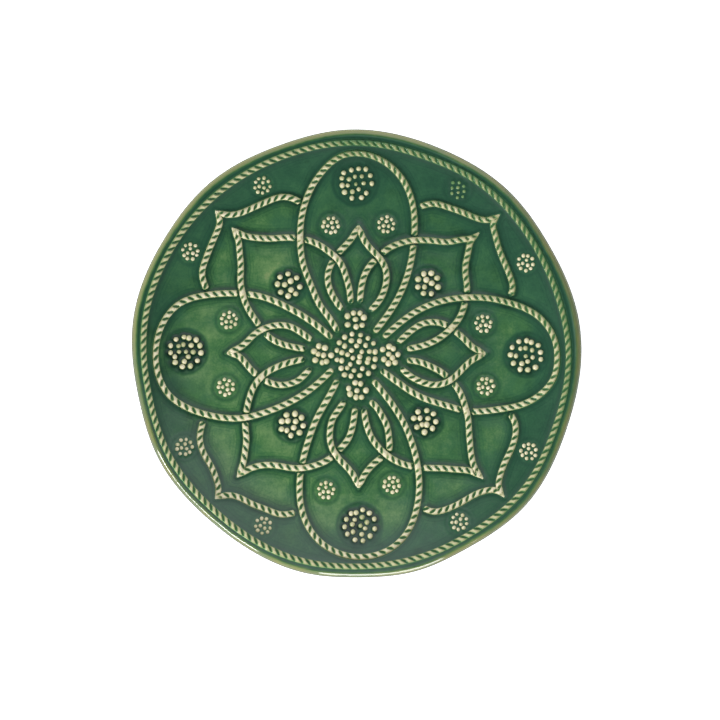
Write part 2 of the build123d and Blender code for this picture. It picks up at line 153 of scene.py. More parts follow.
# Spots where the glaze lies thin or thick: x, y, reach, change in its thickness
GLAZE_SPOTS = [(-47, 45, 11, -0.14), (-119, 2, 12, -0.20), (44, -50, 9, -0.05), (-46, -52, 9, -0.03),
               (0, 95, 32, 0.11), (0, -100, 30, -0.03), (75, 75, 45, 0.06)]

# Table, light and camera
TABLE_SIZE = 6.0
TABLE_GLOW = 0.75  # keeps the white table as bright as in the photo
STUDIO_STRENGTH = 1.76
WINDOW_AZIMUTH = 70
WINDOW_ZENITH = 44
FRAME_WIDTH = 0.432  # metres across the picture, at the height of the relief
RELIEF_HEIGHT = 0.017
CAMERA_HEIGHT = 3.0
CAMERA_PLACE = (0.0024, -0.0036)  # the plate stands a little off the picture's middle

# The hand-trimmed rim: angle from east, in degrees, and radius
RIM_KNOTS = [(0, 135.2), (10, 135.1), (30, 133.0), (47, 134.0), (67, 133.3), (93, 134.6), (110, 133.4),
    (130, 135.0), (148, 134.2), (170, 135.3), (193, 133.0), (208, 134.1), (230, 132.8), (258, 134.8),
    (270, 134.0), (286, 135.1), (299, 134.3), (318, 136.3), (340, 134.1)]
# The border rope, laid about 7 mm inside the rim
BORDER_KNOTS = [(0, 127.7), (15, 126.2), (40, 126.1), (58, 126.5), (70, 125.6), (87, 126.8), (110, 126.6),
    (134, 127.4), (152, 127.8), (171, 128.3), (190, 126.8), (209, 127.7), (229, 126.8), (254, 128.3),
    (270, 127.6), (290, 127.9), (304, 128.0), (320, 129.4), (339, 127.6)]

SIDES = ["north", "west", "south", "east"]
CORNERS = ["ne", "nw", "sw", "se"]

# Ovals: one long coil each, starting at the centre boss and running clockwise round its petal
OVAL_ROUTES = {
    "north": [(-11, 13.5), (-15.5, 21), (-22, 30), (-26.5, 40), (-31.5, 53), (-33.5, 66), (-33, 80),
        (-29, 95.5), (-20.5, 109.5), (-7.5, 119.5), (6, 120), (18, 115), (29, 103.5), (34.5, 88), (35, 70),
        (32, 51), (23.5, 30.5), (11, 13)],
    "west": [(-14, -9), (-24, -18.5), (-40, -29), (-54.5, -35), (-69, -38.5), (-85, -37.5), (-100, -33),
        (-112.5, -24.5), (-119.5, -10), (-120, 6), (-114.5, 21.5), (-105, 31), (-90, 35.5), (-72, 36.5),
        (-55, 34), (-40, 27.5), (-24, 17.5), (-14.5, 9.5)],
    "south": [(10.3, -15.8), (19, -26.5), (28.5, -41), (35, -58), (38, -76), (36.5, -93), (30, -108.5),
        (18, -118.5), (3, -122), (-12, -119), (-24.5, -110), (-32, -96), (-34, -80), (-32, -64), (-28, -50),
        (-23.5, -38.5), (-16.5, -26), (-11, -15.5)],
    "east": [(16.5, 10), (36, 25.5), (52, 32), (66, 34), (80, 33.5), (95, 30), (108.5, 23.5), (118.5, 11),
        (121, -2), (118.5, -15), (110, -25), (98, -31), (84, -33.5), (69, -34.5), (54.5, -31), (39.5, -26),
        (26.5, -18), (15, -9.5)],
}

# Corner ogees: two coils each, a and b, both starting at the pointed tip
CORNER_ROUTES = {
    "ne": {
        "a": [(74, 73), (70.5, 70), (64.5, 69), (55.5, 67.5), (48, 68), (40.5, 68.5), (33, 68.2),
            (26, 66.5), (19.5, 63.5), (13.5, 58.5), (7.5, 52), (3.8, 43), (2.3, 31)],
        "b": [(74, 73), (69.5, 68.5), (67.5, 61), (66, 54), (66, 47), (66.8, 40), (66, 33), (64, 25.5),
            (60, 18.5), (54, 12.5), (46.5, 7.5), (38, 4.5), (30.5, 3)],
    },
    "nw": {
        "a": [(-74.5, 76), (-71, 69), (-70, 61), (-69.3, 53), (-69.5, 45), (-68.5, 37.5), (-65.5, 28.5),
            (-60.5, 20.5), (-55.5, 13.5), (-49.5, 8.3), (-41, 5), (-30.5, 3)],
        "b": [(-74.2, 75.8), (-68.5, 71.8), (-60, 70), (-52, 69.5), (-44, 70), (-36, 69.8), (-29, 68.5),
            (-22, 65.5), (-15.5, 61), (-9.5, 55), (-6, 46.5), (-4, 39), (-3.2, 30.5)],
    },
    "sw": {
        "a": [(-71.5, -74), (-65.5, -69.8), (-57, -67), (-48, -67), (-39, -68.5), (-31, -68.4),
            (-23.5, -66.6), (-16, -63), (-10.5, -58), (-5, -51.5), (-2, -43), (-0.5, -32.5)],
        "b": [(-71.5, -74), (-68.5, -67.5), (-66.8, -59), (-66, -51), (-66.6, -43), (-66, -35), (-64, -26),
            (-60.5, -18), (-54.5, -11.7), (-47, -7.5), (-40, -5), (-31, -3)],
    },
    "se": {
        "a": [(76.5, -75), (72, -69.5), (69.7, -62.5), (68.6, -54), (68, -46), (67.3, -38), (65.5, -31),
            (62.5, -23), (57.5, -16.3), (51.5, -11), (44, -7), (37, -4.5), (30.5, -3.7)],
        "b": [(76.5, -75), (70, -70.8), (61, -69.5), (51.5, -68.7), (42.5, -68.5), (35, -67.8),
            (28.5, -66.2), (21, -62.5), (14, -56.5), (8.7, -49), (6, -41), (4.7, -33)],
    },
}

# Outer ogees: two coils each, from the tip to a plain end beside the oval
OUTER_ROUTES = {
    "ne": {
        "a": [(86.3, 83.8), (79.5, 80.7), (72, 82), (63.5, 85.5), (55, 88.5), (46.5, 90.5), (38.5, 88.7)],
        "b": [(86.3, 83.8), (82.7, 79), (83.5, 72.5), (86, 63.5), (90, 53.5), (93.5, 44.5), (94.2, 39.5),
            (93, 35.2)],
    },
    "nw": {
        "a": [(-84.5, 86), (-82, 80.5), (-83.5, 74), (-87, 66), (-90.5, 57), (-92.6, 48.5), (-90, 39)],
        "b": [(-84.5, 86), (-79, 84), (-70.5, 84.6), (-61.5, 88.3), (-53, 92), (-45, 94.5), (-38, 93.5),
            (-33.5, 91.3)],
    },
    "sw": {
        "a": [(-84.5, -87), (-79.5, -85.2), (-72, -85.7), (-63, -90), (-54, -93.5), (-45, -96.5),
            (-36.8, -95.5)],
        "b": [(-84.5, -87), (-82.8, -81.5), (-84, -75.5), (-87.2, -67.5), (-92, -59), (-94, -50.5),
            (-92, -40.5)],
    },
    "se": {
        "a": [(89, -86), (86, -80), (86.7, -73.5), (89.5, -65.5), (93.5, -57), (96, -48), (95.5, -41),
            (93, -36.3)],
        "b": [(89, -86), (85, -82.3), (79, -82), (71.5, -84.6), (63, -89.5), (54, -93.5), (46, -94.7),
            (40.7, -92.7)],
    },
}

# Inner petals: two coils each, from the tip back to the centre boss
PETAL_ROUTES = {
    "north": {
        "a": [(1.6, 77.8), (-2, 70.5), (-9.5, 62), (-14.2, 55.5), (-17, 46.5), (-15.5, 38.3), (-12, 31.7),
            (-8.3, 26.5)],
        "b": [(1.6, 77.8), (4.5, 69.3), (10, 62.2), (15.5, 56), (18.2, 49), (17.2, 39), (15, 33.8),
            (11.3, 28.9), (8.2, 26)],
    },
    "west": {
        "a": [(-78.5, 0.3), (-71.5, -0.8), (-64.7, -7.6), (-61, -11.5), (-54, -16.2), (-47, -18.5),
            (-38.5, -17.5), (-34, -15.3), (-30.5, -12), (-27.4, -8.8)],
        "b": [(-78.5, 0.3), (-70.3, 3.8), (-66, 7), (-62.3, 10.8), (-57.5, 14.3), (-52, 16.5), (-47, 17.4),
            (-38.5, 16.1), (-34, 13.6), (-30, 10.8), (-26.5, 8.2)],
    },
    "south": {
        "a": [(1.5, -81.2), (4, -74.7), (9.5, -67.2), (15, -62.5), (19.3, -58.7), (19.9, -51), (18.8, -44),
            (14.8, -35.7), (11.8, -31.4), (8.3, -28.2)],
        "b": [(1.5, -81.2), (-0.7, -74.5), (-6, -67.5), (-12.3, -60.3), (-15.4, -53), (-15.6, -46),
            (-13.5, -38), (-10.2, -33.2), (-7, -28.3)],
    },
    "east": {
        "a": [(78.5, 0.3), (69.7, 4.6), (65, 9.2), (61, 12.6), (54, 17.5), (46, 19.3), (39.5, 18),
            (34.5, 15), (29.3, 10.6), (25.2, 6.8)],
        "b": [(78.5, 0.3), (69.7, -3.8), (65.3, -7.7), (61.5, -11.7), (55, -16.7), (47, -18.5), (37, -15.7),
            (31.5, -12.4), (27.2, -8.4)],
    },
}

# Beads of the centre boss
CENTRE_BEADS = [(-2.4, 12), (2.8, 11.4), (-6.8, 10.1), (7.2, 9.5), (-2.8, 8), (2.1, 7.8), (-10, 6.8),
    (10.5, 6.4), (-6.8, 4.8), (0.4, 4.9), (5.8, 5.2), (-11.5, 2.2), (-2.7, 2.1), (3.5, 1.3), (8.1, 1.5),
    (11.5, 1.3), (-8.5, 0.8), (-5.1, -0.4), (2.3, -1.6), (-1.9, -2.4), (7.5, -2.9), (11.5, -3.1),
    (-11.4, -3.5), (-8.6, -4), (1.8, -4.7), (6.9, -4.9), (-3.5, -6.2), (10.7, -7.6), (-8.9, -8.6),
    (-5.3, -8.4), (-1.2, -9.9), (3.8, -8.8), (7.5, -11.6), (-6.9, -12.5), (-3, -13.3), (2.3, -12.9)]
# Beads of the four satellites beside the boss
SATELLITE_BEADS = {
    "north": [(-5.1, 22.8), (-1.5, 24.6), (2.4, 24.5), (4.7, 22), (-0.3, 20.8), (-5, 17.6), (0.1, 16.4),
        (3.6, 17.3)],
    "west": [(-22.4, 4.7), (-18.7, 3.7), (-25.3, 1.6), (-22.8, -0.1), (-19.5, -0.8), (-15, -0.8),
        (-24.5, -3.7), (-20.3, -5.1), (-17.9, -4.5)],
    "south": [(-0.5, -17.3), (2.8, -17.9), (-4.4, -20.8), (6, -21.9), (0.5, -22.1), (-3.6, -24), (0, -26),
        (3.3, -26)],
    "east": [(16.1, 2.7), (20, 4.5), (22.4, 3.2), (19.7, -0.1), (25.2, -0.3), (16.8, -3.2), (21.9, -2.4),
        (19.5, -5.6), (23.5, -5.1)],
}
# Beads of the four large clusters, at the broad end of each oval
LARGE_BEADS = {
    "north": [(-7.4, 109), (-8.5, 105.8), (-2.8, 110.7), (1.6, 111.5), (5.9, 111.2), (-4.1, 105.2),
        (-0.6, 106.8), (3.5, 106.9), (8.6, 107.4), (-8.3, 101.5), (-5, 101.5), (-0.1, 102.3), (4.6, 102.8),
        (9.5, 102.6), (-6.9, 97.4), (-2.2, 97.7), (1.6, 99.2), (6.2, 96.9), (-2.5, 93.9), (3.3, 94.1)],
    "west": [(-108.3, 8.8), (-103.5, 10.2), (-100.6, 9.6), (-96.2, 8.5), (-111.5, 5), (-106.8, 4.8),
        (-104, 5.7), (-99.2, 5.2), (-94, 5), (-111.5, 0.8), (-106.5, 1.3), (-102.3, 1.3), (-98, 1.2),
        (-93.3, 0.7), (-109, -1.7), (-101, -1.7), (-108.8, -5), (-103.3, -4.5), (-95.5, -4), (-104.5, -7.6),
        (-99.7, -7.2)],
    "south": [(4, -93.8), (8, -95.8), (-2.9, -96), (0, -95.5), (3.7, -98.2), (-5.8, -99.5), (-0.8, -99.8),
        (11, -99.3), (6.6, -101.3), (-2.2, -102.5), (2.7, -103.3), (-6.8, -104), (5.5, -105),
        (11.3, -105.2), (-1.8, -107), (3.5, -108.5), (-5.2, -108.3), (8.5, -109.5), (-0.6, -111.8),
        (4.2, -112.3)],
    "east": [(98, 7.5), (102.7, 8), (105.5, 7), (109.7, 5.2), (94, 4), (99, 3.2), (102, 3.5), (106, 2.3),
        (111, 1), (93, -0.5), (96.3, -1.2), (102.2, -1.3), (106.3, -2), (111.2, -3.2), (94.8, -5.5),
        (99.8, -5.8), (103.3, -4.5), (98.8, -9.2), (103.4, -9.5), (108, -8)],
}
# Beads of the four middle clusters, between the ovals
MIDDLE_BEADS = {
    "ne": [(40.8, 48.2), (45.3, 48.6), (37.4, 45), (42.3, 44.6), (48.8, 45.7), (45.6, 42.6), (37.2, 40.3),
        (41.2, 40.3), (49.3, 40.3), (40.6, 36.5), (45.3, 36.3)],
    "nw": [(-45.7, 46.3), (-40.9, 48.2), (-35.7, 45.8), (-39.3, 43.9), (-47.2, 42), (-42.9, 41.7),
        (-33.8, 40.4), (-45.3, 37.2), (-39.1, 38.5), (-36.3, 36.2), (-40.8, 34.9)],
    "sw": [(-41.8, -36.7), (-36.7, -36), (-32.8, -38.3), (-44.6, -40.5), (-41, -40.2), (-36.3, -40.6),
        (-31.8, -43.2), (-44.8, -45.2), (-41.6, -46), (-37.5, -44.3), (-34, -47.3), (-39.2, -49)],
    "se": [(37.3, -34.8), (42.6, -34), (46.6, -36), (34.8, -38.7), (38.5, -38.6), (43.3, -38.8),
        (48, -40.7), (36.7, -44), (39.8, -42.5), (42.5, -42.5), (46, -44.7), (41.2, -47)],
}
# Small clusters: middle, and the direction of the first bead. Nine beads stand round three.
SEED_CLUSTERS = {
    "oval_north_a": (-15.2, 77.4, 70), "oval_north_b": (18.2, 78, 85),
    "oval_west_a": (-78.3, -19.9, 62), "oval_west_b": (-76.5, 20.4, 88),
    "oval_south_a": (21.6, -78.7, 72), "oval_south_b": (-18, -81.9, 90),
    "oval_east_a": (76.6, 18.2, 95), "oval_east_b": (78.1, -19.3, 80),
    "rim_ne_a": (61.4, 98.6, 82), "rim_ne_b": (102.1, 54.8, 70),
    "rim_nw_a": (-99.6, 61.6, 88), "rim_nw_b": (-56.4, 101.3, 75),
    "rim_sw_a": (-55.8, -103.2, 62), "rim_sw_b": (-103.2, -55.9, 78),
    "rim_se_a": (103.9, -58.6, 92), "rim_se_b": (62.1, -100.9, 65),
}
# One cluster near the rim has ten beads in place of twelve, half drowned in glaze
DROWNED_CLUSTER = "rim_ne_a"
DROWNED_BEADS = [(58.3, 103), (62.1, 103), (57.8, 99.8), (61.3, 100.1), (64.8, 100.8), (57.7, 96.6),
    (61.5, 97.1), (65, 97.8), (61, 94.1), (64.2, 94.6)]
# Length of one twist, which differs from rope to rope
PITCHES = {
    ("oval", "north"): 4.5, ("oval", "west"): 5.05, ("oval", "south"): 4.9, ("oval", "east"): 4.65,
    ("corner", "ne"): 4.6, ("corner", "nw"): 4.4, ("corner", "sw"): 4.95, ("corner", "se"): 4.5,
    "outer": 4.5, "petal": 4.45,
}
# Coils that are twisted the other way from the rest
REVERSED_COILS = {("corner", "sw", "b"), ("petal", "east", "b"), ("outer", "se", "b"), ("outer", "nw", "b")}


# Shape of the clay

def cubic(knots, values, at):
    """Natural cubic spline through (knots, values), where values may have several columns."""
    steps = np.diff(knots)
    slopes = np.diff(values, axis=0) / steps[:, None]
    count = len(knots)
    system = np.eye(count)
    right = np.zeros_like(values)
    for i in range(1, count - 1):
        system[i, i - 1:i + 2] = steps[i - 1], 2 * (steps[i - 1] + steps[i]), steps[i]
        right[i] = 6 * (slopes[i] - slopes[i - 1])
    curvature = np.linalg.solve(system, right)
    i = np.clip(np.searchsorted(knots, at) - 1, 0, count - 2)
    width = steps[i][:, None]
    before = (at - knots[i])[:, None]
    after = width - before
    cubes = (curvature[i] * after ** 3 + curvature[i + 1] * before ** 3) / (6 * width)
    left = (values[i] / width - curvature[i] * width / 6) * after
    return cubes + left + (values[i + 1] / width - curvature[i + 1] * width / 6) * before


def value_at(knots, angles):
    """Value, such as a radius, at angles in radians round the plate, from (degrees, value) knots."""
    turns = np.array([(angle + 360 * turn, value) for turn in (-1, 0, 1) for angle, value in knots], float)
    return cubic(turns[:, 0], turns[:, 1:], np.degrees(angles) % 360)[:, 0]


def plan_points(radius, angles):
    """Plan points at a radius and an angle each."""
    return np.stack([radius * np.cos(angles), radius * np.sin(angles)], axis=1)


def face_lean(radius, bend=BEND_RADIUS):
    """Slope in radians of the upper face, or of a layer whose bend has another radius."""
    return np.arcsin(np.clip((radius - WELL_RADIUS) / bend, 0.0, sin(WALL_SLOPE)))


def face_height(radius, below=0.0):
    """Height above the table of the upper face, or of a layer that lies some mm below it."""
    bend = BEND_RADIUS + below
    rise = np.maximum(radius - WELL_RADIUS - bend * sin(WALL_SLOPE), 0.0) * tan(WALL_SLOPE)
    return WELL_HEIGHT + BEND_RADIUS - bend * np.cos(face_lean(radius, bend)) + rise


def hand_wave(x, y):
    """Unevenness of the hand-pressed clay."""
    slow = 0.13 * np.sin(x / 17 + 1.3) * np.cos(y / 21 - 0.4) + 0.08 * np.sin((x + 1.3 * y) / 11)
    return slow + 0.03 * np.sin(x / 5.3 - y / 7.1 + 0.8) * np.sin(y / 4.7 + x / 9.0)


def surface(x, y):
    """Height of the clay face above the table."""
    return face_height(np.hypot(x, y)) + hand_wave(x, y)


def ease(low, high, value):
    """Smooth step from 0 at low to 1 at high."""
    t = np.clip((value - low) / (high - low), 0.0, 1.0)
    return t * t * (3 - 2 * t)


def distances(points):
    """Distance along a row of plan points, from the first to each."""
    return np.concatenate([[0], np.cumsum(np.hypot(*np.diff(points, axis=0).T))])


def lay(plan, spacing):
    """Even points along a smooth curve through plan points, their headings and their distances."""
    plan = np.array(plan, float)
    knots = distances(plan)
    fine = cubic(knots, plan, np.linspace(0, knots[-1], int(knots[-1] / FINE_STEP)))
    along = distances(fine)
    even = np.linspace(0, along[-1], round(along[-1] / spacing) + 1)
    points = np.stack([np.interp(even, along, fine[:, axis]) for axis in (0, 1)], axis=1)
    headings = np.gradient(points, axis=0)
    return points, headings / np.hypot(*headings.T)[:, None], even


def nearest(points, queries):
    """Distance from each query to the nearest of some plan points, and that point's index."""
    tree = KDTree(len(points))
    for index, (x, y) in enumerate(points):
        tree.insert((x, y, 0), index)
    tree.balance()
    found = [tree.find((x, y, 0)) for x, y in queries]
    return np.array([hit[2] for hit in found]), np.array([hit[1] for hit in found])


# Glaze

class Graph:
    """The nodes of a material or of the world, and short ways to add to them."""

    def __init__(self, owner):
        owner.use_nodes = True
        self.owner = owner
        self.tree = owner.node_tree
        self.shader = self.tree.nodes.get("Principled BSDF")

    def node(self, kind, inputs=None, **settings):
        made = self.tree.nodes.new("ShaderNode" + kind)
        for key, value in settings.items():
            setattr(made, key, value)
        for key, value in (inputs or {}).items():
            self.feed(made, key, value)
        return made

    def feed(self, made, key, value):
        """Give one input of a node a socket or a plain value."""
        if isinstance(value, bpy.types.NodeSocket):
            self.tree.links.new(value, made.inputs[key])
        else:
            made.inputs[key].default_value = value

    def math(self, operation, a, b=0.0):
        return self.node("Math", {0: a, 1: b}, operation=operation).outputs[0]

    def add(self, total, *terms):
        """Total plus each value times its weight, from (value, weight) terms."""
        for value, weight in terms:
            total = self.math("ADD", total, self.math("MULTIPLY", value, weight))
        return total

    def attribute(self, name):
        return self.node("Attribute", attribute_name=name).outputs["Fac"]

    def noise(self, size_mm, detail=2.0, offset=0.0):
        """Noise of a given grain size, about -1 to 1."""
        place = self.node("TexCoord").outputs["Object"]
        shifted = self.node("VectorMath", {0: place, 1: (offset, offset, offset)}, operation="ADD")
        inputs = {"Vector": shifted.outputs[0], "Scale": 1 / (size_mm * MM), "Detail": detail}
        made = self.node("TexNoise", inputs)
        return self.math("MULTIPLY", self.math("SUBTRACT", made.outputs["Fac"], 0.5), 3.0)

    def curve(self, value, stops, span=(0, 1), tint=(1, 1, 1)):
        """Levels between (value, level) stops, where value lies within span, times a tint."""
        low, high = span
        if span != (0, 1):
            value = self.node("MapRange", {0: value, 1: low, 2: high}).outputs[0]
        shades = [((at - low) / (high - low), [level * part for part in tint]) for at, level in stops]
        return self.ramp(value, shades)

    def ramp(self, value, stops):
        made = self.node("ValToRGB", {"Fac": value})
        elements = made.color_ramp.elements
        elements.remove(elements[1])
        for index, (at, colour) in enumerate(stops):
            element = elements[0] if index == 0 else elements.new(at)
            element.position = at
            element.color = (*colour, 1.0)
        return made.outputs["Color"]

    def blend(self, factor, first, second):
        """First where factor is 0, second where it is 1."""
        return self.node("Mix", {0: factor, 2: first, 3: second}, data_type="FLOAT").outputs[0]

    def mix(self, factor, first, second, blend_type="MIX"):
        """The same for colours, which may also be multiplied or added."""
        inputs = {0: factor, 6: first, 7: second}
        return self.node("Mix", inputs, data_type="RGBA", blend_type=blend_type).outputs[2]

    def finish(self, colour, bump_height, roughness):
        """Join a colour and a bump to the shader, and return the material."""
        bump = self.node("Bump", {"Height": bump_height, "Distance": MM, "Strength": 1.0})
        self.feed(self.shader, "Base Color", colour)
        self.feed(self.shader, "Normal", bump.outputs[0])
        self.feed(self.shader, "Roughness", roughness)
        return self.owner

    def glaze(self, thickness, bump_height, roughness, shine, tints=()):
        """Glaze of a given thickness over white clay, with tints as (amount, colour)."""
        colour = self.ramp(thickness, GLAZE)
        for amount, tint in tints:
            colour = self.mix(amount, colour, tint)
        self.feed(self.shader, "Specular IOR Level", shine)
        return self.finish(colour, bump_height, roughness)


def body_glaze():
    """Glaze on the body: dark where it pools against ropes, beads and rim, clearer in the open cells. Painted
    shade darkens it toward +X and +Y and on the lip's shaded sides, and painted shadow of the beads adds to
    the pools round them.
    """
    g = Graph(bpy.data.materials.new("body_glaze"))
    broad = g.noise(22.0, 2.0)
    cloud = g.noise(8.0, 3.0, 0.4)
    mottle = g.noise(3.2, 3.0, 1.3)
    fleck = g.noise(1.2, 2.0, 0.9)
    shade_and_glaze_depth, pooling = g.attribute("shade_and_glaze_depth"), g.attribute("pooling")
    cluster_gap, cluster_pool_and_shadow = g.attribute("cluster_gap"), g.attribute("cluster_pool_and_shadow")
    rope_gap = g.add(g.attribute("rope_gap"), (cloud, 0.6), (broad, 0.9))
    rim_gap = g.add(g.attribute("rim_gap"), (cloud, 0.3))

    # Open cells: clear in their middle, and paler under the beads of a cluster that has little glaze
    open_cell = g.curve(rope_gap, [(0, 0.67), (3.2, 0.62), (3.7, 0.69), (4.2, 0.60), (5.3, 0.59), (5.6, 0.63),
                                   (6.0, 0.575), (8.0, 0.57), (13.0, 0.55)], (0, 13))
    # The shade layer adds painted shade, a darker wall and spots of glaze to the cells
    base = g.add(open_cell, (broad, 0.10), (shade_and_glaze_depth, 1.0), (cloud, 0.07), (mottle, 0.05), (fleck, 0.05))
    thin = g.curve(cluster_gap, [(-3, 0.16), (-1.2, 0.12), (0.2, 0.0)], (-3, 4))
    base = g.math("SUBTRACT", base, g.math("MULTIPLY", thin, g.math("SUBTRACT", 1.0, cluster_pool_and_shadow)))

    # Pools along the ropes, round the beads and in a halo round each cluster; round the beads and clusters
    # the dark is pooled glaze and painted shadow of the beads
    pool = g.curve(rope_gap, [(0, 0.8), (0.9, 0.6), (2.0, 0.2), (3.4, 0.04), (4.2, 0)], (0, 5))
    pool = g.math("MULTIPLY", pool, pooling)
    seat = g.curve(g.attribute("bead_gap"), [(0, 1.0), (0.9, 0.85), (2.2, 0.45), (4.0, 0)], (0, 4))
    seat = g.math("MULTIPLY", seat, cluster_pool_and_shadow)
    halo = g.curve(g.add(cluster_gap, (cloud, 0.5)),
                   [(-3, 0.1), (-1.2, 0.2), (0.2, 0.5), (1.0, 0.45), (2.0, 0.1), (2.8, 0.0)], (-3, 4))
    halo = g.math("MULTIPLY", halo, g.add(0.45, (cluster_pool_and_shadow, 0.55)))
    halo = g.math("MULTIPLY", halo, pooling)
    pool_and_shadow = g.math("MAXIMUM", pool, g.math("MAXIMUM", seat, halo))
    thickness = g.add(base, (g.math("SUBTRACT", 1.0, base), pool_and_shadow))
    flank = g.curve(g.attribute("rope_gap"), [(-1, 0.9), (0.1, 0.75), (0.8, 0.0)], (-1, 1))
    thickness = g.blend(flank, thickness, FLANK_GLAZE)

    # The lip: thin on its crest, with a band of olive to brown outside it, browner and wider on the sides
    # painted in shade
    lip = g.curve(rim_gap, [(0, 0.45), (0.6, 0.42), (1.8, 0.42), (2.4, 0.49), (3.0, 0.62), (3.6, 0.74),
                            (4.6, 0.80)], (0, 6))
    on_lip = g.curve(rim_gap, [(3.4, 1.0), (5.0, 0.0)], (0, 6))
    thickness = g.blend(on_lip, thickness, g.add(lip, (cloud, 0.05)))
    height = g.blend(on_lip, g.add(g.math("MULTIPLY", cloud, 0.05), (fleck, 0.010)), 0.0)
    ripple = g.math("SINE", g.math("MULTIPLY", rim_gap, 7.0))
    outermost = g.curve(rim_gap, [(0, 0.55), (0.5, 0.45), (1.1, 0.0)], (0, 2))
    # The lip's painted shade by direction pushes it toward brown
    brown = g.add(0.5, (shade_and_glaze_depth, 8.0), (ripple, 0.2), (outermost, 1.0), (rim_gap, -0.25))
    lip_tone = g.mix(brown, LIP_OLIVE, LIP_BROWN)
    # The band widens where the lip's painted shade is strong
    widening = g.math("MULTIPLY", g.math("SUBTRACT", shade_and_glaze_depth, 0.02), 30.0)
    widening = g.math("MINIMUM", g.math("MAXIMUM", widening, 0.0), 0.6)
    on_edge = g.curve(g.math("SUBTRACT", rim_gap, widening),
                      [(-1, 0.9), (0, 0.9), (0.9, 0.85), (1.7, 0.75), (2.4, 0.45), (3.2, 0.0)], (-1, 5))

    # Cooler green patches, more of them where the shade layer is darker
    cool = g.curve(g.add(g.noise(15.0, 2.0, 1.7), (shade_and_glaze_depth, 6.0)), [(-0.2, 0.0), (0.6, 0.4)], (-1, 1))
    return g.glaze(thickness, height, 0.07, 0.5, tints=[(on_edge, lip_tone), (cool, COOL_GLAZE)])


def relief_glaze(name, patchiness, shift):
    """Glaze on ropes and beads: it runs off the crests, which show the pale clay."""
    g = Graph(bpy.data.materials.new(name))
    cloud = g.noise(6.0, 2.0, shift)
    fleck = g.noise(1.1, 2.0, shift + 0.5)
    thickness = g.add(g.attribute("glaze"), (cloud, patchiness), (fleck, 0.03))
    return g.glaze(thickness, g.math("MULTIPLY", fleck, 0.02), 0.2, 0.2)


def foot_clay():
    """Bare fired clay of the foot, stained by the glaze above it."""
    g = Graph(bpy.data.materials.new("foot_clay"))
    grain = g.noise(0.9, 4.0)
    patch = g.noise(14.0, 3.0, 0.7)
    shades = [(0.0, (0.30, 0.20, 0.12)), (0.5, (0.46, 0.34, 0.22)), (1.0, (0.58, 0.46, 0.33))]
    colour = g.ramp(g.add(0.5, (grain, 0.2), (patch, 0.3)), shades)
    return g.finish(colour, g.math("MULTIPLY", grain, 0.05), 0.85)


# Meshes

def make_piece(name, vertices, faces, layers, material, nodes):
    """A smooth mesh piece from vertices in mm, with per-vertex layers, riding on the root body."""
    mesh = bpy.data.meshes.new(name)
    mesh.from_pydata((np.asarray(vertices) * MM).tolist(), [], faces)
    mesh.materials.append(material)
    mesh.shade_smooth()
    for layer, values in layers.items():
        mesh.attributes.new(layer, "FLOAT", "POINT").data.foreach_set("value", np.asarray(values, np.float32))
    mesh.validate()
    piece = bpy.data.objects.new(name, mesh)
    bpy.context.scene.collection.objects.link(piece)
    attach(piece, "root")
    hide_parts(*nodes)
    return piece


def relief_piece(name, solids, material):
    """One rope or bead node from its solids."""
    vertices, faces, glaze, start = [], [], [], 0
    for points, polygons, values in solids:
        vertices.append(points)
        glaze.append(values)
        faces += [tuple(index + start for index in polygon) for polygon in polygons]
        start += len(points)
    layers = {"glaze": np.concatenate(glaze)}
    make_piece(name, np.concatenate(vertices), faces, layers, material, [name])


def tube_faces(rows, columns, loop):
    """Faces between sections of a tube, joined to a loop or closed at both ends."""
    faces = []
    for row in range(rows if loop else rows - 1):
        here, there = row * columns, (row + 1) % rows * columns
        for column in range(columns):
            beside = (column + 1) % columns
            faces.append((here + column, there + column, there + beside, here + beside))
    if not loop:
        faces.append(tuple(range(columns)))
        faces.append(tuple((rows - 1) * columns + column for column in reversed(range(columns))))
    return faces


def stand(points, headings, sideways, upward):
    """Points of sections that stand on the face. Sideways and upward hold one row for each section."""
    left = np.stack([-headings[:, 1], headings[:, 0]], axis=1)
    radius = np.hypot(*points.T)
    lean = face_lean(radius)
    outward = points / np.maximum(radius, 1e-6)[:, None]
    up = np.column_stack([-outward * np.sin(lean)[:, None], np.cos(lean)])
    side = np.column_stack([left, np.tan(lean) * np.sum(left * outward, axis=1)])
    side /= np.linalg.norm(side, axis=1)[:, None]
    base = np.column_stack([points, surface(*points.T)])
    return base[:, None, :] + sideways[..., None] * side[:, None, :] + upward[..., None] * up[:, None, :]


laid_ropes = []  # centre line and half width of every coil as cut, for the body's glaze


